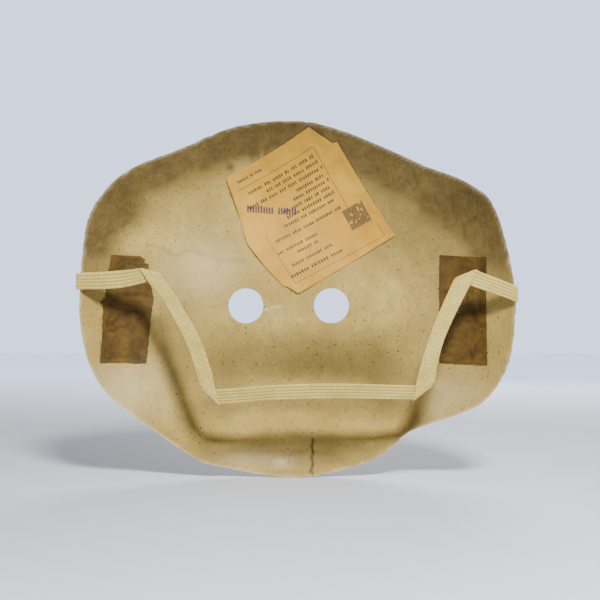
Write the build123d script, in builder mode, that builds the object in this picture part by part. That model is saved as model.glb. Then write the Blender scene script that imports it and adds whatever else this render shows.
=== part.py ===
"""Pressed paper-pulp carnival mask of a dog, seen and worn from its inner side.

The wearer's frame, in mm: +X is the wearer's right, +Y is forward, out of the
painted front, and +Z is up. The origin is on the inner face, midway between the
two eye holes. The inner face looks towards -Y and the painted one towards +Y.
"""

import math
import os

from build123d import *

os.makedirs("parts", exist_ok=True)

# ---------------------------------------------------------------- dimensions
wall = 2.0  # pulp board
eye_spacing = 60.0
eye_diameter = 24.5

paper = 0.4  # kraft patches
label_paper = 0.25
glue_gap = 0.15  # between the pulp and anything glued on it

band_width = 10.5
band_thickness = 0.9
band_gap = 0.6  # between the band and the pulp it passes over
tail_gap = 0.35  # between the glued end of the band and the pulp
slit_width = 1.9  # slots in the pulp that let the band through
slit_height = 11.5
tail = 13.0  # length of band glued down inside, under each patch
left_slit = -112.0
right_slit = 124.0
left_band_z = 14.6  # height of the band where it crosses each rim
right_band_z = 5.6
left_rim = -136.3  # the rim at those heights
right_rim = 149.5
loop_y = -46.8  # the folded band hangs in this plane, in front of the rim

ahead = Plane.XZ.offset(-40)  # outlines are drawn ahead of the mask
reach = 120.0  # and carried back through it


# ---------------------------------------------------------------- the form
def fade(start, end, t):
    """1 before start, 0 after end, smooth between."""
    t = min(1.0, max(0.0, (t - start) / (end - start)))
    return 1 - t * t * (3 - 2 * t)


def hump(x, z, cx, cz, rx, rz):
    """A soft round hump of height 1."""
    return math.exp(-(((x - cx) / rx) ** 2) - ((z - cz) / rz) ** 2)


def form(x, z):
    """Depth y of the inner face. Larger is deeper, towards the painted side."""
    # shallow dish with walls that curl back to the rim
    across = x - 7
    rho = (abs(across / 143) ** 2.2 + abs(z / 125) ** 2.2) ** (1 / 2.2)
    curl = 1.2 * rho**6 / (1 + (rho / 1.3) ** 6)
    y = -20 * (across / 142) ** 2 - (24 + z / 25) * curl
    # forehead, brows and the drooping ears
    y += 6 * hump(x, z, 5, 64, 72, 28)
    y += 3 * hump(x, z, -52, 46, 26, 20) + 3 * hump(x, z, 54, 44, 28, 20)
    y += 5 * hump(x, z, -110, 58, 20, 14) + 6 * hump(x, z, 119, 58, 22, 15)
    # muzzle: a deep bowl with the mouth line as its lower edge, and two jowls
    lip = 96 - 7 * math.exp(-(((x - 5) / 20) ** 2))
    walls = fade(0.52, 1.0, abs(x - 9) / 92)
    y += 17 * walls * fade(-52, -10, z) * fade(66, lip, -z)
    y += 2 * hump(x, z, -38, -66, 22, 14) + 2 * hump(x, z, 52, -66, 22, 14)
    # chin under the mouth line
    y += 6 * hump(x, z, 5, -105, 40, 8)
    return y


def normal(x, z):
    """Unit normal of the inner face, pointing to the painted side."""
    d = 0.5
    fx = (form(x + d, z) - form(x - d, z)) / (2 * d)
    fz = (form(x, z + d) - form(x, z - d)) / (2 * d)
    return Vector(-fx, 1, -fz).normalized()


def layer(back, front, x0, x1, z0, z1, columns, rows):
    """Loft a curved layer through upright sections.

    It lies between two distances from the inner face, back(x, z) and
    front(x, z), along the normal; a negative one is on the wearer's side.
    """
    sections = []
    for i in range(columns + 1):
        x = x0 + (x1 - x0) * i / columns
        behind, before = [], []
        for j in range(rows + 1):
            z = z0 + (z1 - z0) * j / rows
            slope = 1 / normal(x, z).Y
            behind.append((form(x, z) + back(x, z) * slope, z))
            before.append((form(x, z) + front(x, z) * slope, z))
        with BuildSketch(Plane.YZ.offset(x)) as section:
            with BuildLine():
                Spline(*behind)
                Line(behind[-1], before[-1])
                Spline(*reversed(before))
                Line(before[0], behind[0])
            make_face()
        sections.append(section.sketch)
    loft(sections)


# ---------------------------------------------------------------- mask shell
with BuildPart() as mask_shell:
    layer(lambda x, z: 0.0, lambda x, z: wall, -146, 160, -126, 132, 34, 32)
    with BuildSketch(ahead):
        # outline: round head, two drooping ears of unequal length, narrow chin
        with BuildLine():
            Spline(
                [
                    (7, 124),
                    (37.5, 118),
                    (66.5, 106.5),
                    (96, 92),
                    (119, 80.5),
                    (137, 62),
                    (148.5, 14.5),
                    (148, -23),
                    (142, -47),
                    (127, -67),
                    (103, -78),
                    (82, -87),
                    (57, -106),
                    (7, -117.5),
                    (-46.5, -110),
                    (-67, -101.5),
                    (-103.5, -74.5),
                    (-121, -57),
                    (-131.5, -35),
                    (-136, 0),
                    (-131, 52),
                    (-118.5, 75),
                    (-101, 91),
                    (-77, 102.8),
                    (-35.5, 120),
                ],
                periodic=True,
            )
        make_face()
        # eye holes
        with Locations((-eye_spacing / 2, 0), (eye_spacing / 2, 0)):
            Circle(eye_diameter / 2, mode=Mode.SUBTRACT)
        # slits for the band
        with Locations((left_slit, left_band_z), (right_slit, right_band_z)):
            Rectangle(slit_width, slit_height, mode=Mode.SUBTRACT)
    extrude(amount=reach, mode=Mode.INTERSECT)

mask_shell.part.label = "mask_shell"
export_step(mask_shell.part, "parts/mask_shell.step")


# ---------------------------------------------------------------- kraft patches
def over_tail(x, z, x0, x1, zc):
    """Lift of a patch: flat on the pulp, raised over the glued end of the band."""
    half = band_width / 2
    along = fade(0, 4, x0 - x) * fade(0, 4, x - x1)
    across = fade(half, half + 4, abs(z - zc))
    return -glue_gap - (band_thickness + tail_gap + glue_gap) * along * across


with BuildPart() as left_patch:
    under = lambda x, z: over_tail(x, z, left_slit - 1, left_slit + tail, left_band_z)
    layer(lambda x, z: under(x, z) - paper, under, -127, -90, -43, 37, 24, 48)
    with BuildSketch(ahead):
        Polygon(
            *[
                (-118.5, 33.5),
                (-101, 33.5),
                (-96.5, 27.5),  # torn corner
                (-92.5, 5),
                (-96.5, -39.5),
                (-124, -39),
                (-123, -3),
                (-123.5, 2),
                (-121.5, 11),
            ],
            align=None,
        )
    extrude(amount=reach, mode=Mode.INTERSECT)

left_patch.part.label = "left_patch"
export_step(left_patch.part, "parts/left_patch.step")

with BuildPart() as right_patch:
    under = lambda x, z: over_tail(x, z, right_slit - tail, right_slit + 1, right_band_z)
    layer(lambda x, z: under(x, z) - paper, under, 101, 136, -44, 38, 24, 48)
    with BuildSketch(ahead):
        Polygon(*[(104, 34), (133, 31), (133, -40.5), (103.5, -39.5)], align=None)
    extrude(amount=reach, mode=Mode.INTERSECT)

right_patch.part.label = "right_patch"
export_step(right_patch.part, "parts/right_patch.step")


# ---------------------------------------------------------------- maker's label
with BuildPart() as maker_label:
    layer(
        lambda x, z: -glue_gap - label_paper,
        lambda x, z: -glue_gap,
        *(-47, 78, 5, 125, 20, 20),
    )
    with BuildSketch(ahead):
        Polygon(
            *[
                (15, 120.5),
                (-43.5, 89),
                (-29.5, 44),
                (-4, 14),
                (6, 9),
                (74.5, 49),
                (40, 102.5),
                (28, 113),  # torn corner
            ],
            align=None,
        )
    extrude(amount=reach, mode=Mode.INTERSECT)

maker_label.part.label = "maker_label"
export_step(maker_label.part, "parts/maker_label.step")


# ---------------------------------------------------------------- glued band ends
def off_face(x, z, lift):
    """Point in the band's plane at a distance from the inner face."""
    slope = 1 / normal(x, z).Y
    return (x, form(x, z) + lift * slope)


def band_end_path(slit, rim, z, inward):
    """Centre line: glued tail, slit, painted side, then round the rim."""
    inside = -tail_gap - band_thickness / 2
    outside = wall + band_gap + band_thickness / 2
    beyond = rim - inward * (band_gap + band_thickness / 2)
    return [
        off_face(slit + inward * tail, z, inside),
        off_face(slit + inward * tail / 2, z, inside),
        off_face(slit, z, inside),
        off_face(slit, z, outside),
        off_face(slit + (rim - slit) * 0.3, z, outside),
        off_face(slit + (rim - slit) * 0.6, z, outside),
        off_face(slit + (rim - slit) * 0.85, z, outside),
        (beyond, form(rim, z) + 3.8),
        (beyond, loop_y + band_thickness / 2),
        (rim + inward * 1.2, loop_y + band_thickness / 2),
    ]


with BuildPart() as left_band_end:
    with BuildSketch(Plane.XY.offset(left_band_z - band_width / 2)):
        with BuildLine():
            FilletPolyline(
                *band_end_path(left_slit, left_rim, left_band_z, 1), radius=0.6
            )
        trace(line_width=band_thickness)
    extrude(amount=band_width)

left_band_end.part.label = "left_band_end"
export_step(left_band_end.part, "parts/left_band_end.step")

with BuildPart() as right_band_end:
    with BuildSketch(Plane.XY.offset(right_band_z - band_width / 2)):
        with BuildLine():
            FilletPolyline(
                *band_end_path(right_slit, right_rim, right_band_z, -1), radius=0.6
            )
        trace(line_width=band_thickness)
    extrude(amount=band_width)

right_band_end.part.label = "right_band_end"
export_step(right_band_end.part, "parts/right_band_end.step")


# ---------------------------------------------------------------- folded band loop
# one elastic band lying in two layers: the runs and the middle span behind,
# the two arms in front of them (nearer the wearer), creased at four corners
with BuildPart() as band_loop:
    with BuildSketch(Plane.XZ.offset(-loop_y - band_thickness)):
        # left run, rim to fold
        Polygon(
            *[
                (left_rim + 1.6, 19.8),
                (-96, 22.7),
                (-82, 18.5),
                (-90, 13.5),
                (-112, 9.5),
                (left_rim + 1.6, 9.4),
            ],
            align=None,
        )
        # right run, fold to rim
        Polygon(
            *[
                (right_rim - 1.6, 10.8),
                (123.7, 21.2),
                (110, 15.6),
                (120.5, 11),
                (right_rim - 1.6, 0.3),
            ],
            align=None,
        )
        # middle span, arched a little
        with BuildLine():
            ThreePointArc((-45.5, -55.8), (18.6, -51.9), (88, -53.2))
            Line((88, -53.2), (88, -59.5))
            Line((88, -59.5), (83.5, -62.3))
            ThreePointArc((83.5, -62.3), (18.6, -61.8), (-43, -65.5))
            Line((-43, -65.5), (-51, -58))
            Line((-51, -58), (-45.5, -55.8))
        make_face()
    extrude(amount=band_thickness)
    with BuildSketch(Plane.XZ.offset(-loop_y)):
        # left arm
        with BuildLine():
            Spline((-82, 18.5), (-67.7, -1.3), (-54.7, -25.3), (-45.5, -55.8))
            Line((-45.5, -55.8), (-43, -65.5))
            Line((-43, -65.5), (-55, -55))
            Spline((-55, -55), (-63, -30), (-76, -4), (-96, 22.7))
            Line((-96, 22.7), (-82, 18.5))
        make_face()
        # right arm
        with BuildLine():
            Spline((110, 15.6), (101.5, -1.3), (91.5, -25.3), (83.5, -53.2))
            Line((83.5, -53.2), (82, -62.8))
            Line((82, -62.8), (95.5, -53))
            Spline((95.5, -53), (101.5, -27), (111.5, -3), (123.7, 21.2))
            Line((123.7, 21.2), (110, 15.6))
        make_face()
    extrude(amount=band_thickness)

band_loop.part.label = "band_loop"
export_step(band_loop.part, "parts/band_loop.step")
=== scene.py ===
"""Looks of a pressed paper-pulp dog mask, seen from the wearer's side."""

import math
import random

import bmesh
import bpy
import numpy as np
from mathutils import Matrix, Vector, noise


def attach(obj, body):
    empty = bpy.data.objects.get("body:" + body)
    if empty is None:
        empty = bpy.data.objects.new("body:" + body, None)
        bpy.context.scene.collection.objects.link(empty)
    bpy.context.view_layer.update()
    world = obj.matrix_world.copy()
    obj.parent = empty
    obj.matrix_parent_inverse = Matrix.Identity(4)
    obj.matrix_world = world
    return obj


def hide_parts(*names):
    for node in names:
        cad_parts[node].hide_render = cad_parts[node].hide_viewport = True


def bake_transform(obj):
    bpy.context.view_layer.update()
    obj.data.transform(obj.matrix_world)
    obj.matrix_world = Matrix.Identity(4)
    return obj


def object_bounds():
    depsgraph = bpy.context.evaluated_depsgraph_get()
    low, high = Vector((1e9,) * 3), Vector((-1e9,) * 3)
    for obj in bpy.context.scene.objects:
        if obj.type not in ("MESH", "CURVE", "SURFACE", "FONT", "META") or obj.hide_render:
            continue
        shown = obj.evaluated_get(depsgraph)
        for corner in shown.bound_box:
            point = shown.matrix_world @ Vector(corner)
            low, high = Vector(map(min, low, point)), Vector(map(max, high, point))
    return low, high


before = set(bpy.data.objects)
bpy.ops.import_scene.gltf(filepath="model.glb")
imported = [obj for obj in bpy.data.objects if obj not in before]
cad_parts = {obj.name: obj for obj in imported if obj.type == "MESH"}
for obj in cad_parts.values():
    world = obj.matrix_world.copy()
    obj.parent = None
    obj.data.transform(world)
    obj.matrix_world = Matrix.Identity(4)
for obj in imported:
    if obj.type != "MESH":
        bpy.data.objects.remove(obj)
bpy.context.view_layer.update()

# ================================================================ mask board
# Grey-yellow paper pulp pressed in a mould while wet, about 2 mm thick, with
# the felted back of the board bare towards the wearer. The relief of brows,
# muzzle, mouth line and chin shows in reverse. Lengths here are in mm.

board_thick = 2.0
eye_x = (-30, 30)
eye_radius = 12.25
slits = ((-112, 14.6), (124, 5.6))  # middle of each slit, left and right
slit_half_wide, slit_half_tall = 0.95, 5.75


def fade(start, end, t):
    """1 before start, 0 after end, smooth between."""
    t = np.clip((t - start) / (end - start), 0, 1)
    return 1 - t * t * (3 - 2 * t)


def hump(x, z, cx, cz, rx, rz):
    return np.exp(-(((x - cx) / rx) ** 2) - ((z - cz) / rz) ** 2)


def form(x, z):
    """Depth of the inner face; larger is deeper, towards the painted side."""
    across = x - 7
    rho = (np.abs(across / 143) ** 2.2 + np.abs(z / 125) ** 2.2) ** (1 / 2.2)
    curl = 1.2 * rho**6 / (1 + (rho / 1.3) ** 6)
    y = -20 * (across / 142) ** 2 - (24 + z / 25) * curl
    y += 6 * hump(x, z, 5, 64, 72, 28)
    y += 3 * hump(x, z, -52, 46, 26, 20) + 3 * hump(x, z, 54, 44, 28, 20)
    y += 5 * hump(x, z, -110, 58, 20, 14) + 6 * hump(x, z, 119, 58, 22, 15)
    lip = 96 - 7 * np.exp(-(((x - 5) / 20) ** 2))
    walls = fade(0.52, 1.0, np.abs(x - 9) / 92)
    y += 17 * walls * fade(-52, -10, z) * fade(66, lip, -z)
    y += 2 * hump(x, z, -38, -66, 22, 14) + 2 * hump(x, z, 52, -66, 22, 14)
    y += 6 * hump(x, z, 5, -105, 40, 8)
    return y


def steepness(x, z):
    """Length along y for each mm square to the face."""
    fx = form(x + 0.5, z) - form(x - 0.5, z)
    fz = form(x, z + 0.5) - form(x, z - 0.5)
    return np.sqrt(1 + fx**2 + fz**2)


def ripple(x, z, scale, seed):
    """Smooth noise over the face, one value for each point."""
    flat = [
        noise.noise(Vector((a / scale, b / scale, seed)))
        for a, b in zip(np.ravel(x), np.ravel(z))
    ]
    return np.reshape(flat, np.shape(x))


# the mouth line: down the left side of the muzzle, under both jowls, up again
mouth = [(-88, -8), (-83, -26), (-80, -47), (-74, -71), (-63, -89), (-51, -97), (-35, -95.5),
         (-16, -91), (5, -88), (36, -92), (57, -94), (77, -87), (94, -73), (101, -58)]  # fmt: skip


def to_line(x, z, points):
    """Distance of each place from the line through the points."""
    near = np.full(np.shape(x), 1e9)
    for p, q in zip(points, points[1:]):
        dx, dz = q[0] - p[0], q[1] - p[1]
        t = ((x - p[0]) * dx + (z - p[1]) * dz) / (dx * dx + dz * dz + 1e-12)
        t = np.clip(t, 0, 1)
        near = np.minimum(near, np.hypot(x - p[0] - t * dx, z - p[1] - t * dz))
    return near


def to_mouth(x, z):
    return to_line(x, z, mouth)


def to_outline(x, z, outline):
    return to_line(x, z, [*outline, outline[0]])


def surface(x, z):
    """The inner face with the unevenness of hand-pressed pulp."""
    y = form(x, z)
    y -= 2.0 * np.exp(-((to_mouth(x, z) / 4.8) ** 2))
    y += 1.1 * ripple(x, z, 34, 3.1) + 0.35 * ripple(x, z, 11, 7.7)
    # slanting folds fanned out over the right brow
    fan = np.sin((x * 0.8 + z * 0.6) / 2.6 + 1.5 * ripple(x, z, 30, 1.2))
    y += 0.35 * fan * hump(x, z, 66, 28, 26, 18)
    return y


def between(p0, p1, p2, p3, t):
    """A point between p1 and p2 on a Catmull-Rom spline."""
    return 0.5 * (
        2 * p1
        + (p2 - p0) * t
        + (2 * p0 - 5 * p1 + 4 * p2 - p3) * t * t
        + (3 * p1 - p0 - 3 * p2 + p3) * t**3
    )


def closed_curve(points, spacing):
    """A smooth closed line through the points."""
    line = []
    n = len(points)
    for i in range(n):
        p0, p1, p2, p3 = (Vector(points[(i + k) % n]) for k in (-1, 0, 1, 2))
        steps = max(2, round((p2 - p1).length / spacing))
        for k in range(steps):
            line.append(between(p0, p1, p2, p3, k / steps))
    return line


def placed(name, bm):
    """Put finished faces into the scene as an object."""
    mesh = bpy.data.meshes.new(name)
    bm.to_mesh(mesh)
    bm.free()
    piece = bpy.data.objects.new(name, mesh)
    bpy.context.collection.objects.link(piece)
    return piece


def prism(name, outlines, deep=None):
    """A cutter: each outline carried through the mask, or down to deep(x, z)."""
    bm = bmesh.new()
    for outline in outlines:
        ring = [bm.verts.new((p[0] / 1000, -0.09, p[1] / 1000)) for p in outline]
        face = bm.faces.new(ring)
        swept = bmesh.ops.extrude_face_region(bm, geom=[face])
        moved = [g for g in swept["geom"] if isinstance(g, bmesh.types.BMVert)]
        for vert in moved:
            px, pz = vert.co.x * 1000, vert.co.z * 1000
            vert.co.y = 0.07 if deep is None else float(deep(np.array(px), np.array(pz))) / 1000
    bmesh.ops.recalc_face_normals(bm, faces=bm.faces)
    return placed(name, bm)


def layer(name, back, front, window, step, outline, holes=(), groove=None):
    """A curved layer of board or paper between two distances from the face.

    back(x, z) and front(x, z) are heights in mm along the normal. The layer
    is cut to the outline, the holes are cut out of it, and the groove is cut
    into its near side only.
    """
    x0, x1, z0, z1 = window
    bm = bmesh.new()
    bmesh.ops.create_grid(
        bm, x_segments=round((x1 - x0) / step), y_segments=round((z1 - z0) / step), size=0.5
    )
    for vert in bm.verts:
        u, v = vert.co.x + 0.5, vert.co.y + 0.5
        vert.co = (x0 + (x1 - x0) * u, 0, z0 + (z1 - z0) * v)

    def lay(verts, height):
        """Move points along y until they are at a height over the face."""
        x, z = np.array([(vert.co.x, vert.co.z) for vert in verts]).T
        y = surface(x, z) + height(x, z) * steepness(x, z)
        for vert, depth in zip(verts, y):
            vert.co.y = depth

    near_side = bm.verts[:]
    swept = bmesh.ops.extrude_face_region(bm, geom=bm.faces[:])
    far_side = [g for g in swept["geom"] if isinstance(g, bmesh.types.BMVert)]
    lay(near_side, back)
    lay(far_side, front)
    bmesh.ops.recalc_face_normals(bm, faces=bm.faces)
    bmesh.ops.scale(bm, vec=(0.001, 0.001, 0.001), verts=bm.verts)
    piece = placed(name, bm)
    cutters = [("INTERSECT", prism(name + "_outline", [outline]))]
    if holes:
        cutters.append(("DIFFERENCE", prism(name + "_holes", holes)))
    if groove:

        def groove_floor(px, pz):
            return surface(px, pz) + 1.5

        cutters.append(("DIFFERENCE", prism(name + "_groove", [groove], groove_floor)))
    for operation, cutter in cutters:
        cut = piece.modifiers.new(operation, "BOOLEAN")
        cut.operation = operation
        cut.solver = "EXACT"
        cut.object = cutter
    bpy.context.view_layer.update()
    seen = piece.evaluated_get(bpy.context.evaluated_depsgraph_get())
    piece.data = bpy.data.meshes.new_from_object(seen)
    piece.modifiers.clear()
    for operation, cutter in cutters:
        bpy.data.objects.remove(cutter)
    bm = bmesh.new()
    bm.from_mesh(piece.data)
    bmesh.ops.dissolve_degenerate(bm, dist=1e-6, edges=bm.edges)
    for face in bm.faces:
        face.smooth = True
    sharp = math.radians(38)
    for edge in bm.edges:
        edge.smooth = len(edge.link_faces) == 2 and edge.calc_face_angle(0) < sharp
    bm.to_mesh(piece.data)
    bm.free()
    return piece


# the head is round, the ears droop unevenly and the chin is narrow
rim = closed_curve(
    [
        (7, 124), (37.5, 118), (66.5, 106.5), (96, 92), (119, 80.5), (137, 62),
        (148.5, 14.5), (148, -23), (142, -47), (127, -67), (103, -78), (82, -87),
        (57, -106), (7, -117.5), (-46.5, -110), (-67, -101.5), (-103.5, -74.5),
        (-121, -57), (-131.5, -35), (-136, 0), (-131, 52), (-118.5, 75),
        (-101, 91), (-77, 102.8), (-35.5, 120),
    ],
    1.2,
)  # fmt: skip
# the edge is a little worn, with chips broken out of it
for k, p in enumerate(rim):
    worn = noise.noise(Vector((p[0] / 5, p[1] / 5, 2.2)))
    chip = max(0, noise.noise(Vector((p[0] / 2.2, p[1] / 2.2, 9.4))) - 0.35)
    inward = (Vector((7, 3)) - p).normalized()
    rim[k] = p + inward * (0.25 * worn + 1.6 * chip)

random.seed(11)  # for every random draw below
holes = []
for middle in eye_x:
    ring = []
    for k in range(96):
        turn = 2 * math.pi * k / 96
        uneven = noise.noise(Vector((2.5 * math.cos(turn), 2.5 * math.sin(turn), middle)))
        r = eye_radius + 0.18 * uneven
        ring.append((middle + r * math.cos(turn), r * math.sin(turn)))
    holes.append(ring)
for x, z in slits:
    left, right = x - slit_half_wide, x + slit_half_wide
    low, high = z - slit_half_tall, z + slit_half_tall
    holes.append([(left, low), (right, low), (right, high), (left, high)])
# a crack, open on this face only, runs up from the chin and widens towards the rim
crack_top, crack_step = -92, 2.6


def crack_middle(k):
    """Where the crack runs, k steps down from its upper end."""
    return 16.8 - 0.04 * k + 0.7 * np.sin(2.1 * k)


crack = [(crack_middle(k), crack_top - crack_step * k, 0.12 + 0.065 * k) for k in range(12)]
split = [(x - w, z) for x, z, w in crack] + [(x + w, z) for x, z, w in crack[::-1]]

board = layer(
    "pressed_board",
    lambda x, z: 0 * x,
    lambda x, z: 0 * x + board_thick,
    (-142, 156, -124, 130),
    1.5,
    rim,
    holes,
    split,
)


def new_material(name, roughness):
    """A material with its shader and a short way to add nodes to it."""
    material = bpy.data.materials.new(name)
    material.use_nodes = True
    tree = material.node_tree
    shader = tree.nodes["Principled BSDF"]
    shader.inputs["Roughness"].default_value = roughness
    shader.inputs["Specular IOR Level"].default_value = 0.25

    def add(kind, links=(), **values):
        node = tree.nodes.new(kind)
        for key, value in values.items():
            if key in node.inputs:
                node.inputs[key].default_value = value
            else:
                setattr(node, key, value)
        for socket, source in links:
            tree.links.new(source, node.inputs[socket])
        return node

    return material, shader, add


def noise_at(add, place, scale, detail=4.0, distortion=0.0, roughness=0.55):
    """Noise at a scale in features for each metre."""
    return add(
        "ShaderNodeTexNoise",
        [("Vector", place)],
        Scale=scale,
        Detail=detail,
        Distortion=distortion,
        Roughness=roughness,
    ).outputs["Fac"]


def finish(shader, add, colour, height, strength, distance):
    """Give the shader its colour and its raised grain."""
    links = shader.id_data.links
    links.new(colour, shader.inputs["Base Color"])
    bump = add("ShaderNodeBump", [("Height", height)], Strength=strength, Distance=distance)
    links.new(bump.outputs["Normal"], shader.inputs["Normal"])


def spread(add, value, low, high, to_low=0.0, to_high=1.0):
    """Stretch a value range, clamped."""
    return add(
        "ShaderNodeMapRange",
        [("Value", value)],
        **{"From Min": low, "From Max": high, "To Min": to_low, "To Max": to_high},
    ).outputs["Result"]


def mixed(add, amount, first, second):
    """Mix two colours, each a colour or the output of a node."""
    node = add("ShaderNodeMix", data_type="RGBA")
    links = node.id_data.links
    for socket, value in ((0, amount), (6, first), (7, second)):
        if isinstance(value, bpy.types.NodeSocket):
            links.new(value, node.inputs[socket])
        elif isinstance(value, float):
            node.inputs[socket].default_value = value
        else:
            node.inputs[socket].default_value = (*value, 1)
    return node.outputs[2]


def times(add, a, b, operation="MULTIPLY"):
    """Multiply two values, or add them, clamped to 0 and 1."""
    node = add("ShaderNodeMath", operation=operation, use_clamp=True)
    for socket, value in ((0, a), (1, b)):
        if isinstance(value, bpy.types.NodeSocket):
            node.id_data.links.new(value, node.inputs[socket])
        else:
            node.inputs[socket].default_value = value
    return node.outputs[0]


pulp, shader, add = new_material("pulp_board", 0.82)
place = add("ShaderNodeTexCoord").outputs["Object"]
# this attribute holds real stains and painted shade in the hollows, along the rims and the mouth line
stain_and_shade = add("ShaderNodeAttribute", attribute_name="stain_and_shade").outputs["Fac"]
# this attribute holds real rubbing and scrapes, and painted light on the left brow, the cheeks and the
# chin
wear_and_light = add("ShaderNodeAttribute", attribute_name="wear_and_light").outputs["Fac"]
cloud = spread(add, noise_at(add, place, 22, 5), 0.3, 0.7)
mottle = spread(add, noise_at(add, place, 150, 8, 0.6, 0.7), 0.42, 0.68)
colour = mixed(add, cloud, (0.29, 0.195, 0.042), (0.46, 0.335, 0.09))
colour = mixed(add, times(add, mottle, 0.6), colour, (0.31, 0.20, 0.05))
# long fibres felted into the face
fibre_place = add(
    "ShaderNodeMapping", [("Vector", place)], Rotation=(0, 0.5, 0), Scale=(1, 1, 0.16)
).outputs["Vector"]
fibre = spread(add, noise_at(add, fibre_place, 1400, 3, 1.5), 0.55, 0.75)
colour = mixed(add, times(add, fibre, 0.18), colour, (0.30, 0.21, 0.09))
# flecks of dark fibre and bark, of two sizes
for scale, size, rarity in ((650, 0.34, 0.76), (300, 0.24, 0.85)):
    cells = add("ShaderNodeTexVoronoi", [("Vector", place)], Scale=scale)
    dot = spread(add, cells.outputs["Distance"], size * 0.6, size, 1.0, 0.0)
    pick = spread(
        add,
        add("ShaderNodeSeparateColor", [(0, cells.outputs["Color"])]).outputs[0],
        rarity,
        rarity + 0.08,
    )
    fleck = times(add, dot, pick)
    colour = mixed(add, times(add, fleck, 0.85), colour, (0.05, 0.03, 0.014))
uneven = spread(add, noise_at(add, place, 120, 7, 0.8, 0.65), 0.3, 0.65, 0.8, 1.0)
# darken the pulp by real stains and painted shade
stain_and_shade_mix = times(add, stain_and_shade, uneven)
colour = mixed(add, stain_and_shade_mix, colour, (0.055, 0.033, 0.008))
# pale the pulp by real rubbing and painted light
colour = mixed(add, times(add, wear_and_light, 0.6), colour, (0.68, 0.57, 0.34))
fine = noise_at(add, place, 1500, 5)
soft = noise_at(add, place, 260, 4)
height = times(add, times(add, fine, 0.3), times(add, soft, 0.5), "ADD")
# the wires of the mould's screen have left fine upright lines
screen = add(
    "ShaderNodeTexWave",
    [("Vector", place)],
    Scale=230.0,
    Distortion=2.5,
    Detail=3.0,
    bands_direction="X",
)
height = times(add, height, times(add, screen.outputs["Fac"], 0.2), "ADD")
finish(shader, add, colour, height, 0.55, 0.0007)

paint, shader, add = new_material("front_paint", 0.5)
place = add("ShaderNodeTexCoord").outputs["Object"]
coat = add("ShaderNodeAttribute", attribute_name="coat").outputs["Color"]
brush = spread(add, noise_at(add, place, 90, 6, 0.8), 0.35, 0.7)
colour = mixed(add, times(add, brush, 0.22), coat, (0.16, 0.09, 0.04))
scuff = spread(add, noise_at(add, place, 240, 5, 0.3), 0.66, 0.72)
colour = mixed(add, times(add, scuff, 0.6), colour, (0.55, 0.44, 0.26))
finish(shader, add, colour, noise_at(add, place, 420, 5), 0.25, 0.0005)

board.data.materials.append(pulp)
board.data.materials.append(paint)
where = np.array([v.co for v in board.data.vertices]) * 1000
x, y, z = where.T
depth = (y - surface(x, z)) / steepness(x, z)
gap = to_outline(x, z, rim[::3])
# the paint covers the front and comes round the cut edge of the rim
for face in board.data.polygons:
    through = [depth[k] for k in face.vertices]
    on_front = min(through) > 0.95 and sum(through) > 1.5 * len(through)
    on_edge = max(through) - min(through) > 0.8 and all(gap[k] < 1.6 for k in face.vertices)
    if on_front or on_edge:
        face.material_index = 1
# dark pulp: painted shade in the hollows of the relief, along the upper rim, over the ears,
# the foot of the brow and the mouth line, and in the crack; real stains and spots here and there
step = 5.0
hollow = (
    form(x + step, z) + form(x - step, z) + form(x, z + step) + form(x, z - step)
) / 4 - form(x, z)
stain_and_shade_amount = np.clip(-hollow * 0.7, 0, 0.45)
# painted shade along the upper rim
upper = fade(-60, 5, -z)
stain_and_shade_amount += 1.15 * fade(5, 30, gap) * upper * (0.95 + 0.25 * ripple(x, z, 14, 5.5))
# painted shade over the right ear and the right brow
stain_and_shade_amount += 0.5 * hump(x, z, 132, 60, 26, 34) + 0.5 * hump(x, z, 90, 50, 34, 38)
# painted shade below the eyes, and darker over the upper right of the brow
stain_and_shade_amount += 0.4 * hump(x, z, 15, -42, 56, 18) + 0.3 * hump(x, z, 62, 88, 40, 16)
# real stains: a smudge at the upper right, a blotch on the upper brow and small spots
stain_and_shade_amount += 0.75 * hump(x, z, 97, 78, 5, 12) * (0.7 + ripple(x, z, 5, 1.5))
stain_and_shade_amount += 0.7 * hump(x, z, -22, 108, 11, 7) * np.clip(0.4 + 2 * ripple(x, z, 3, 4.5), 0, 1)
for cx, cz, r in ((-36, 112, 3), (49, 105, 3), (-40, 96, 2.5), (66, 96, 2), (20, 60, 3)):
    stain_and_shade_amount += 0.5 * hump(x, z, cx, cz, r, r)
# painted shade along the mouth line and down the left wall of the muzzle
stain_and_shade_amount += 0.3 * fade(0.5, 8, to_mouth(x, z + 3.5))
stain_and_shade_amount += 0.25 * fade(1, 17, to_mouth(x - 5, z)) * fade(-75, -55, x) * fade(70, 95, -z)
# painted shade in the crack
crack_x = crack_middle((crack_top - z) / crack_step)
stain_and_shade_amount += 0.9 * fade(0.4, 1.3, np.abs(x - crack_x)) * (z < crack_top)
# a faint crease crosses the left brow, with painted shade along it
crease = 41 - 0.16 * (x + 98) + 1.8 * np.sin(x / 6) + 3 * ripple(x, z, 12, 8.1)
stain_and_shade_amount += 0.4 * fade(0.2, 1.6, np.abs(z - crease)) * (x > -98) * (x < -31)
# pale pulp: the rubbed edge, a scraped patch on the chin and a scratch between the
# eyes; and painted light on the left brow, the cheeks and the chin
wear_and_light_amount = fade(0.2, 1.6, gap) * (0.5 + 0.5 * ripple(x, z, 6, 8.8))
scraped = np.clip(0.6 + 2 * ripple(x, z, 3, 6.5), 0, 1)
wear_and_light_amount = wear_and_light_amount + 0.5 * hump(x, z, -4, -109, 7, 5) * scraped
# painted light on the left brow and the left cheek
wear_and_light_amount += 0.5 * hump(x, z, -58, 26, 24, 20) + 0.6 * hump(x, z, -108, -58, 20, 18)
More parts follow.
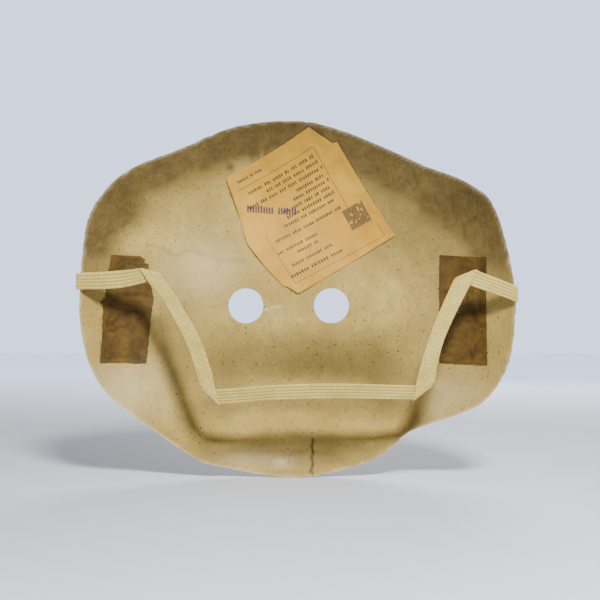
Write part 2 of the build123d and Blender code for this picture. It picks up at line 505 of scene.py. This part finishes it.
# painted light on the chin and the right cheek
wear_and_light_amount += 0.35 * hump(x, z, -20, -107, 30, 7) + 0.3 * hump(x, z, 110, -62, 20, 14)
wear_and_light_amount += 0.9 * fade(0.2, 1.1, np.abs(z + 0.4 - 0.1 * x)) * (x > -17) * (x < -5)
for name, amount, most in (("stain_and_shade", stain_and_shade_amount, 0.9), ("wear_and_light", wear_and_light_amount, 1)):
    attribute = board.data.attributes.new(name, "FLOAT", "POINT")
    attribute.data.foreach_set("value", np.clip(amount, 0, most).astype(np.float32))
# the painted side: a tan dog with dark ears, a cream muzzle and a black nose
rgb = np.tile(np.array([0.36, 0.17, 0.055]), (len(x), 1))
blur = 8 * ripple(x, z, 15, 2.9)
from_eye = np.hypot(np.abs(x) - eye_x[1], z)
ears = fade(-8, 8, 88 - np.abs(x - 6) + blur) * fade(-100, -60, -z)
muzzle = fade(0.75, 1.05, np.hypot((x - 5) / 85, (z + 50) / 44) + blur / 60)
nose = fade(0.85, 1.05, np.hypot((x - 5) / 22, (z + 26) / 13))
tongue = fade(0.6, 1.0, np.hypot((x - 5) / 26, (z + 101) / 7))
for cover, tint in (
    (muzzle, (0.72, 0.56, 0.33)),
    (ears, (0.018, 0.03, 0.035)),
    (fade(14, 19, from_eye), (0.82, 0.78, 0.68)),
    (fade(12.6, 14.2, from_eye), (0.015, 0.013, 0.012)),
    (nose, (0.012, 0.012, 0.014)),
    (fade(1.2, 3.0, to_mouth(x, z)) * (z < -60), (0.10, 0.012, 0.01)),
    (fade(1.0, 2.0, np.abs(x - 5)) * (z < -38) * (z > -88), (0.02, 0.015, 0.012)),
    (tongue, (0.45, 0.05, 0.035)),
    (fade(0.5, 6, gap), (0.02, 0.028, 0.03)),
):
    cover = np.clip(cover, 0, 1)[:, None]
    rgb = rgb * (1 - cover) + np.array(tint) * cover
rgba = np.concatenate([rgb, np.ones((len(x), 1))], 1)
attribute = board.data.attributes.new("coat", "FLOAT_COLOR", "POINT")
attribute.data.foreach_set("color", rgba.astype(np.float32).ravel())
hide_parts("mask_shell")
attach(board, "mask")

# ================================================================ kraft patches
# Two strips of dark brown kraft paper glued over the slits and the ends of the
# band. They are a little wrinkled, stained by the glue, and torn at a corner.

kraft, shader, add = new_material("kraft_paper", 0.72)
place = add("ShaderNodeTexCoord").outputs["Object"]
cloud = spread(add, noise_at(add, place, 70, 6, 1.0), 0.32, 0.68)
colour = mixed(add, cloud, (0.046, 0.023, 0.002), (0.118, 0.064, 0.006))
streak_place = add(
    "ShaderNodeMapping", [("Vector", place)], Rotation=(0, 0.25, 0), Scale=(0.2, 1, 1)
).outputs["Vector"]
streak = spread(add, noise_at(add, streak_place, 150, 5, 1.2), 0.45, 0.7)
colour = mixed(add, times(add, streak, 0.6), colour, (0.028, 0.013, 0.001))
rubbed = spread(add, noise_at(add, place, 330, 5, 0.5), 0.6, 0.72)
colour = mixed(add, times(add, rubbed, 0.3), colour, (0.21, 0.125, 0.03))
grain = noise_at(add, place, 1200, 5)
crease = noise_at(add, streak_place, 190, 4, 1.5)
height = times(add, times(add, grain, 0.3), times(add, crease, 0.7), "ADD")
finish(shader, add, colour, height, 0.5, 0.0007)


def torn(points, spacing, roughness, seed):
    """Straight cut edges, a little ragged."""
    line = []
    for k, p in enumerate(points):
        p, q = Vector(p), Vector(points[(k + 1) % len(points)])
        steps = max(1, round((q - p).length / spacing))
        side = Vector((q.y - p.y, p.x - q.x)).normalized()
        for j in range(steps):
            point = p.lerp(q, j / steps)
            shift = noise.noise(Vector((point.x / 2.4, point.y / 2.4, seed)))
            line.append(point + side * roughness * shift * (j > 0))
    return line


left_cut = torn(
    [(-118.5, 33.5), (-101, 33.5), (-98, 31.5), (-98.6, 29), (-95.5, 28), (-96.5, 24), (-92.5, 5),
     (-94.7, -14), (-96.5, -39.5), (-124, -39), (-123, -3), (-124.4, 1.5), (-121.5, 4), (-121.5, 11)],
    1.3, 0.5, 1.0,
)  # fmt: skip
right_cut = torn([(104, 34), (133, 31), (133, -40.5), (103.5, -39.5)], 1.3, 0.3, 2.0)
for name, cut, tail, window, node in (
    ("left_kraft_patch", left_cut, (-113, -99, 14.6), (-127, -90, -42, 37), "left_patch"),
    ("right_kraft_patch", right_cut, (111, 125, 5.6), (101, 136, -44, 38), "right_patch"),
):

    def raised(x, z):
        """Over the glued end of the band, and loose along the edges."""
        x_low, x_high, middle = tail
        over = fade(0, 4, x_low - x) * fade(0, 4, x - x_high)
        over = over * fade(5.25, 9, np.abs(z - middle))
        loose = 0.5 * fade(0.3, 3.5, to_outline(x, z, cut)) * (0.5 + ripple(x, z, 9, 3.3))
        wrinkle = 0.25 * np.abs(ripple(x, z, 7, 6.1))
        return -0.15 - 1.2 * over - np.clip(loose, 0, 1) - wrinkle

    patch = layer(name, lambda x, z: raised(x, z) - 0.35, raised, window, 0.8, cut)
    patch.data.materials.append(kraft)
    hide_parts(node)
    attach(patch, "mask")

# ================================================================ paper label
# A thin aged ochre label glued crooked to the brow, torn at one corner, its
# edges lifting. Its print is stood for by plain rules and rows of short bars.

corner = Vector((-43.5, 89.0))
along = Vector((math.cos(math.radians(28.2)), math.sin(math.radians(28.2))))
down = Vector((along.y, -along.x))


def on_label(u, v):
    """Label point: u mm along its printed rows, v mm down from its top edge."""
    return corner + along * u + down * v


label_cut = torn(
    [(15, 120.5), (-14, 104.5), (-43.5, 89), (-36.5, 68.5), (-29.5, 44), (-17, 28), (-4, 14),
     (-0.5, 13.2), (6, 9), (8.5, 9.3), (40, 28), (74.5, 49), (57, 76), (40, 102.5), (34, 111.5),
     (30.5, 111), (27.5, 113), (21, 116.5)],
    1.5, 0.25, 5.0,
)  # fmt: skip


def lifted(x, z):
    """Flat in the middle, lifting towards the edges."""
    edge = to_outline(x, z, label_cut[::2])
    lift = 1.3 * fade(0, 7, edge) * np.clip(0.55 + 1.1 * ripple(x, z, 17, 4.2), 0.1, 1)
    return -0.2 - lift - 0.22 * np.abs(ripple(x, z, 10, 2.4))


label = layer(
    "paper_label",
    lambda x, z: lifted(x, z) - 0.2,
    lifted,
    (-46, 77, 6, 123),
    1.0,
    label_cut,
)
ochre, shader, add = new_material("label_paper", 0.62)
place = add("ShaderNodeTexCoord").outputs["Object"]
cloud = spread(add, noise_at(add, place, 30, 5, 0.5), 0.3, 0.7)
colour = mixed(add, cloud, (0.38, 0.18, 0.010), (0.53, 0.30, 0.025))
crinkle = add(
    "ShaderNodeMapping", [("Vector", place)], Rotation=(0, 0.95, 0), Scale=(1, 1, 0.22)
).outputs["Vector"]
ridge = noise_at(add, crinkle, 170, 5, 1.0)
colour = mixed(add, times(add, spread(add, ridge, 0.5, 0.75), 0.35), colour, (0.36, 0.185, 0.05))
pale = spread(add, noise_at(add, place, 48, 6, 1.5), 0.55, 0.75)
colour = mixed(add, times(add, pale, 0.25), colour, (0.56, 0.35, 0.08))
height = times(add, times(add, noise_at(add, place, 900, 4), 0.2), times(add, ridge, 0.8), "ADD")
finish(shader, add, colour, height, 0.5, 0.0009)
label.data.materials.append(ochre)
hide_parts("maker_label")
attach(label, "mask")

# the print: bars, rules and two stamps, a hair in front of the paper
marks = []  # corners of each mark in mm on the mask, and its ink
black, purple, grey = 0, 1, 2


def bar(u, v, width, tall, ink):
    """One mark, level with the printed rows."""
    upper = [on_label(u, v), on_label(u + width, v)]
    lower = [on_label(u + width, v + tall), on_label(u, v + tall)]
    marks.append((upper + lower, ink))


def row_of_bars(u_from, u_to, v, tall):
    """Words of short upright bars, standing for a printed row."""
    u = u_from
    left_in_word = random.randint(3, 9)
    while u < u_to:
        width = random.uniform(0.4, 0.62) * tall
        high = tall * random.uniform(0.75, 1.0)
        bar(u, v + tall - high, width * 0.8, high, black)
        u += width + 0.22 * tall
        left_in_word -= 1
        if left_in_word == 0:
            u += 0.7 * tall
            left_in_word = random.randint(2, 9)


row_of_bars(6, 24, 5.2, 1.8)
for u_from, u_to, v in (
    (9, 62, 14.5), (21, 62, 19.0), (4, 63, 23.6), (40, 60, 28.6), (35, 62, 33.0), (24, 60, 37.6),
    (25, 62, 42.0), (20, 60, 46.6), (10, 62, 53.5), (7, 38, 62.0), (20, 36, 67.0), (12, 44, 74.0),
):  # fmt: skip
    row_of_bars(u_from, u_to, v, 2.3)
row_of_bars(8, 50, 80.6, 2.6)
for u_from, v_from, u_to, v_to in (
    (3.5, 11.0, 63.5, 11.0), (63.5, 11.0, 66.0, 61.0), (8.0, 87.5, 79.0, 87.5),
    (5.0, 47.0, 8.0, 87.5), (78.0, 76.0, 79.0, 87.5),
):  # fmt: skip
    a, b = on_label(u_from, v_from), on_label(u_to, v_to)
    side = Vector((b.y - a.y, a.x - b.x)).normalized() * 0.14
    steps = 24
    for k in range(steps):
        p, q = a.lerp(b, k / steps), a.lerp(b, (k + 1) / steps)
        marks.append(([p - side, q - side, q + side, p + side], black))
# a purple stamp of upright bars, level with the mask
for k in range(17):
    x = -29.5 + 1.9 * k + (3.0 if k > 9 else 0)
    z = 66.5 - 0.13 * k
    top = z + random.uniform(4.2, 5.2)
    corners = [Vector((x, z)), Vector((x + 1.1, z)), Vector((x + 1.1, top)), Vector((x, top))]
    marks.append((corners, purple))
# a square stamp of small grey squares, some of them missing
for i in range(14):
    for j in range(14):
        if noise.noise(Vector((i / 2.5, j / 2.5, 3.0))) + 0.25 * random.random() > -0.12:
            bar(61 + i * 1.1, 58 + j * 1.1, 0.95, 0.95, grey)

bm = bmesh.new()
for corners, ink in marks:
    px, pz = np.array([(p.x, p.y) for p in corners]).T
    py = surface(px, pz) + (lifted(px, pz) - 0.27) * steepness(px, pz)
    ring = [bm.verts.new((a / 1000, b / 1000, c / 1000)) for a, b, c in zip(px, py, pz)]
    face = bm.faces.new(ring)
    face.normal_update()
    if face.normal.y > 0:
        face.normal_flip()
    face.material_index = ink
printing = placed("label_print", bm)
for name, tint in (
    ("ink_black", (0.022, 0.016, 0.010)),
    ("ink_purple", (0.030, 0.014, 0.055)),
    ("ink_grey", (0.055, 0.042, 0.022)),
):
    ink, shader, add = new_material(name, 0.6)
    place = add("ShaderNodeTexCoord").outputs["Object"]
    gone = spread(add, noise_at(add, place, 1100, 3), 0.5, 0.68)
    worn_ink = mixed(add, times(add, gone, 0.35), tint, (0.42, 0.25, 0.06))
    shader.id_data.links.new(worn_ink, shader.inputs["Base Color"])
    printing.data.materials.append(ink)
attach(printing, "mask")

# ================================================================ elastic band
# One flat woven elastic, 10.5 mm wide: ribbed lengthwise on one face and plain
# on the other. It comes out of the slits, round both rims, and lies folded
# over at four creases across the hollow of the mask.

half_band = 5.25
(left_slit, left_z), (right_slit, right_z) = slits
left_rim, right_rim = -136.3, 149.5
inner_lift = -0.62  # the band's middle over the bare face, under the patch
outer_lift = 3.0  # and over the painted side


def outside_row(x, zc, lift):
    """A row across the band where it lies on the board."""
    fx = form(np.array(x + 0.5), np.array(zc)) - form(np.array(x - 0.5), np.array(zc))
    y = float(form(np.array(x), np.array(zc)) + lift * math.sqrt(1 + fx**2))
    return ((x, y, zc + half_band), (x, y, zc - half_band))


def band_rows(slit, rim_x, zc, inward):
    """Tail under the patch, out through the slit, along the front, round the rim."""
    beyond = rim_x - inward * 1.0
    last = beyond - inward * 0.3
    rows = [outside_row(slit + inward * t, zc, inner_lift) for t in (13, 9, 5, 1.2)]
    rows.append(outside_row(slit, zc, 0.4))
    rows.append(outside_row(slit, zc, 1.7))
    for t in (0.08, 0.3, 0.55, 0.8):
        rows.append(outside_row(slit + (rim_x - slit) * t, zc, outer_lift))
    y = outside_row(rim_x, zc, 0)[0][1]
    rows.append(((beyond, y + 3.2, zc + half_band), (beyond, y + 3.2, zc - half_band)))
    rows.append(((last, y + 0.2, zc + 5.3), (last, y + 0.2, zc - 5.3)))
    return rows


left_end = band_rows(left_slit, left_rim, left_z, 1)
right_end = band_rows(right_slit, right_rim, right_z, -1)
# the free part, as its upper and lower edge, from each rim to the middle
left_rows = [
    left_end[-1],
    ((-136.6, -46.0, 20.0), (-136.6, -46.0, 9.1)),
    ((-132, -46.0, 20.3), (-132, -46.0, 9.2)),
    ((-122, -46.2, 20.6), (-122, -46.2, 9.2)),
    ((-108, -46.5, 21.6), (-106, -46.5, 10.4)),
    ((-99, -46.6, 22.5), (-92, -46.5, 13.6)),
    "fold",
    ((-95.6, -46.9, 22.9), (-83.5, -46.7, 19.6)),
    ((-95.0, -47.7, 21.6), (-81.2, -47.9, 17.6)),
    ((-89.8, -48.2, 14.0), (-77.5, -48.6, 13.0)),
    ((-82.0, -48.8, 4.6), (-71.5, -49.4, 5.0)),
    ((-76.4, -49.4, -3.6), (-66.0, -49.8, -4.2)),
    ((-69.0, -49.8, -17.0), (-59.6, -50.2, -14.6)),
    ((-62.6, -49.4, -30.5), (-53.4, -49.8, -28.0)),
    ((-58.6, -48.6, -43.0), (-48.6, -48.8, -42.0)),
    ((-56.0, -48.0, -51.5), (-45.8, -48.0, -54.0)),
    "fold",
    ((-54.9, -47.4, -55.2), (-43.4, -47.2, -65.2)),
    ((-53.6, -46.4, -55.9), (-42.4, -46.3, -65.6)),
    ((-46.0, -46.5, -56.0), (-38.0, -46.5, -65.4)),
    ((-30.0, -46.6, -55.0), (-27.0, -46.6, -64.6)),
    ((-8.0, -46.8, -53.2), (-7.0, -46.8, -62.9)),
    ((18.6, -46.9, -52.2), (18.6, -46.9, -62.0)),
]
right_rows = [
    right_end[-1],
    ((149.8, -46.0, 11.0), (149.8, -46.0, 0.1)),
    ((146, -46.0, 12.4), (146, -46.0, 1.8)),
    ((139, -46.2, 15.2), (136, -46.2, 5.6)),
    ((131, -46.5, 18.2), (126, -46.5, 9.0)),
    ((126, -46.6, 20.2), (116, -46.6, 12.8)),
    "fold",
    ((123.8, -46.9, 21.5), (111.5, -46.8, 16.2)),
    ((122.6, -47.8, 20.0), (109.0, -47.9, 14.8)),
    ((120.2, -48.3, 13.0), (107.6, -48.4, 12.0)),
    ((112.0, -49.0, -3.0), (101.6, -48.9, -1.0)),
    ((106.0, -49.3, -15.5), (96.2, -49.2, -13.0)),
    ((101.4, -49.2, -27.0), (91.8, -49.0, -25.3)),
    ((98.2, -48.6, -40.0), (87.4, -48.5, -39.5)),
    ((96.6, -48.0, -50.0), (84.0, -48.0, -53.0)),
    "fold",
    ((94.6, -47.4, -53.8), (82.8, -47.2, -62.6)),
    ((93.4, -46.4, -53.6), (82.0, -46.3, -62.6)),
    ((84.0, -46.5, -53.4), (78.0, -46.5, -62.4)),
    ((64.0, -46.7, -52.8), (62.0, -46.7, -62.2)),
    ((40.0, -46.9, -52.2), (40.0, -46.9, -61.9)),
    ((18.6, -46.9, -52.2), (18.6, -46.9, -62.0)),
]


def smooth_rows(rows, spacing):
    """Fill in rows between the given ones; a fold keeps its crease."""
    runs, run = [], []
    for row in rows:
        if row == "fold":
            runs.append(run)
            run = [run[-1]]
        else:
            run.append(row)
    runs.append(run)
    filled = []
    for run in runs:
        points = [np.array(r, float) for r in run]
        for k in range(len(points) - 1):
            p0 = points[max(k - 1, 0)]
            p1, p2 = points[k], points[k + 1]
            p3 = points[min(k + 2, len(points) - 1)]
            gap = np.linalg.norm(p2 - p1, axis=1).max()
            steps = max(2, round(gap / spacing))
            for j in range(steps):
                filled.append(between(p0, p1, p2, p3, j / steps))
    filled.append(np.array(rows[-1], float))
    return filled


across = 24  # quads across the band
ribs = 5
elastic = {}
for name in ("ribbed", "plain"):
    material, shader, add = new_material("elastic_" + name, 0.78)
    shader.inputs["Sheen Weight"].default_value = 0.25
    uv = add("ShaderNodeUVMap", uv_map="along_band").outputs["UV"]
    weft = add(
        "ShaderNodeTexWave",
        [("Vector", uv)],
        Scale=360.0,
        Distortion=2.0,
        Detail=2.0,
        bands_direction="X",
    )
    stretched = add("ShaderNodeMapping", [("Vector", uv)], Scale=(0.5, 1, 1)).outputs["Vector"]
    speck = noise_at(add, stretched, 1500, 3)
    cloud = spread(add, noise_at(add, uv, 60, 4), 0.3, 0.7)
    colour = mixed(add, cloud, (0.50, 0.385, 0.075), (0.70, 0.56, 0.155))
    if name == "ribbed":
        # painted shade in the valleys between the ribs, from the groove attribute
        groove = add("ShaderNodeAttribute", attribute_name="groove").outputs["Fac"]
        colour = mixed(add, times(add, groove, 0.85), colour, (0.26, 0.165, 0.03))
        colour = mixed(add, times(add, spread(add, speck, 0.48, 0.62), 0.5), colour, (0.30, 0.20, 0.04))
    else:
        colour = mixed(add, times(add, spread(add, speck, 0.46, 0.6), 0.7), colour, (0.28, 0.19, 0.04))
    grime = spread(add, noise_at(add, uv, 170, 5, 0.6), 0.58, 0.75)
    colour = mixed(add, times(add, grime, 0.35), colour, (0.32, 0.22, 0.06))
    height = times(add, times(add, weft.outputs["Fac"], 0.5), times(add, speck, 0.5), "ADD")
    finish(shader, add, colour, height, 0.8, 0.0005)
    elastic[name] = material

for name, rows, ribbed_side, node in (
    ("elastic_left_end", left_end, 1, "left_band_end"),
    ("elastic_left", left_rows, 1, "band_loop"),
    ("elastic_right_end", right_end, -1, "right_band_end"),
    ("elastic_right", right_rows, -1, "band_loop"),
):
    filled = smooth_rows(rows, 0.8)
    middles = [r.mean(axis=0) for r in filled]
    lengths = [0.0]
    for a, b in zip(middles, middles[1:]):
        lengths.append(lengths[-1] + float(np.linalg.norm(b - a)))
    bm = bmesh.new()
    uv_layer = bm.loops.layers.uv.new("along_band")
    # painted shade for the valleys between the ribs
    rib_shade_layer = bm.verts.layers.float.new("groove")
    segments = len(filled) - 1
    bmesh.ops.create_grid(bm, x_segments=segments, y_segments=across, size=0.5)
    for face in bm.faces:
        face.smooth = True
        for loop in face.loops:
            at = round((loop.vert.co.x + 0.5) * segments)
            loop[uv_layer].uv = (lengths[at] / 1000, half_band / 500 * (loop.vert.co.y + 0.5))
    first_side = bm.verts[:]
    swept = bmesh.ops.extrude_face_region(bm, geom=bm.faces[:])
    second_side = [g for g in swept["geom"] if isinstance(g, bmesh.types.BMVert)]
    for verts, face_side in ((first_side, 1), (second_side, -1)):
        for vert in verts:
            k = round((vert.co.x + 0.5) * segments)
            t = vert.co.y + 0.5
            top, bottom = filled[k]
            tangent = middles[min(k + 1, segments)] - middles[max(k - 1, 0)]
            width = top - bottom
            normal = np.cross(tangent, width)
            normal /= np.linalg.norm(normal) + 1e-9
            inset = max(1 - abs(2 * t - 1) ** 10, 0.0)
            thick = 0.42 * math.sqrt(inset) + 0.02
            valley = 0.5 + 0.5 * math.cos(2 * math.pi * ribs * t)
            ribbed = face_side == ribbed_side
            if ribbed:
                thick -= 0.16 * valley * inset
                # painted shade, deepest in the valleys between the ribs
                vert[rib_shade_layer] = valley**2 * inset
            fray = 0.12 * noise.noise(Vector((lengths[k] * 1.3, t * 3, 5.0)))
            outward = width / np.linalg.norm(width) * fray * (2 * t - 1)
            vert.co = (bottom + width * t + normal * thick * face_side + outward) / 1000
    plain_side = set(second_side if ribbed_side == 1 else first_side)
    for face in bm.faces:
        face.material_index = int(all(vert in plain_side for vert in face.verts))
    bmesh.ops.recalc_face_normals(bm, faces=bm.faces)
    band = placed(name, bm)
    band.data.materials.append(elastic["ribbed"])
    band.data.materials.append(elastic["plain"])
    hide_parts(node)
    # the free part keeps its place, its placement baked into its points; the glued ends go with the
    # mask
    if name == "elastic_left":
        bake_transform(band)
    elif name == "elastic_right":
        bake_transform(band)
    else:
        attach(band, "mask")

# ================================================================ studio
# A pale floor under the chin, a small key light ahead and above, and a broad
# light over the painted side. The far floor and the backdrop glow pale.

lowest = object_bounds()[0][2]
bm = bmesh.new()
bmesh.ops.create_grid(bm, x_segments=2, y_segments=2, size=6.0)
floor = placed("floor", bm)
floor.location.z = lowest
floor_paint, shader, add = new_material("floor_pale", 0.7)
shader.inputs["Base Color"].default_value = (0.62, 0.65, 0.72, 1)
shader.inputs["Emission Color"].default_value = (0.64, 0.75, 1.0, 1)
# far off, the floor brightens into the backdrop
place = add("ShaderNodeTexCoord").outputs["Object"]
distance = add("ShaderNodeVectorMath", [(0, place)], operation="LENGTH").outputs["Value"]
glow = spread(add, distance, 0.45, 1.9, 0.0, 1.85)
shader.id_data.links.new(glow, shader.inputs["Emission Strength"])
floor.data.materials.append(floor_paint)

world = bpy.data.worlds.new("studio")
world.use_nodes = True
sky = world.node_tree
backdrop = sky.nodes["Background"]
backdrop.inputs[0].default_value = (0.64, 0.75, 1.0, 1)
# pale to look at, but dim as a source of light, so that the relief keeps its shade
path = sky.nodes.new("ShaderNodeLightPath")
strength = sky.nodes.new("ShaderNodeMapRange")
strength.inputs["To Min"].default_value = 0.10
strength.inputs["To Max"].default_value = 2.1
sky.links.new(path.outputs["Is Camera Ray"], strength.inputs["Value"])
sky.links.new(strength.outputs["Result"], backdrop.inputs["Strength"])
bpy.context.scene.world = world
for name, place, size, power in (
    ("key", (0.19, -0.72, 0.54), 0.16, 19.0),
    ("front_side", (0.3, 1.2, 0.8), 0.9, 22.0),
):
    lamp = bpy.data.lights.new(name, "AREA")
    lamp.size = size
    lamp.energy = power
    holder = bpy.data.objects.new(name, lamp)
    holder.location = place
    holder.rotation_euler = (-Vector(place)).to_track_quat("-Z", "Y").to_euler()
    bpy.context.collection.objects.link(holder)

camera_data = bpy.data.cameras.new("camera")
camera_data.lens = 54.8
camera = bpy.data.objects.new("camera", camera_data)
camera.location = (0.029, -0.640, -0.024)
aim = Vector((0.008, 0.0, 0.004)) - camera.location
camera.rotation_euler = aim.to_track_quat("-Z", "Y").to_euler()
bpy.context.collection.objects.link(camera)
bpy.context.scene.camera = camera
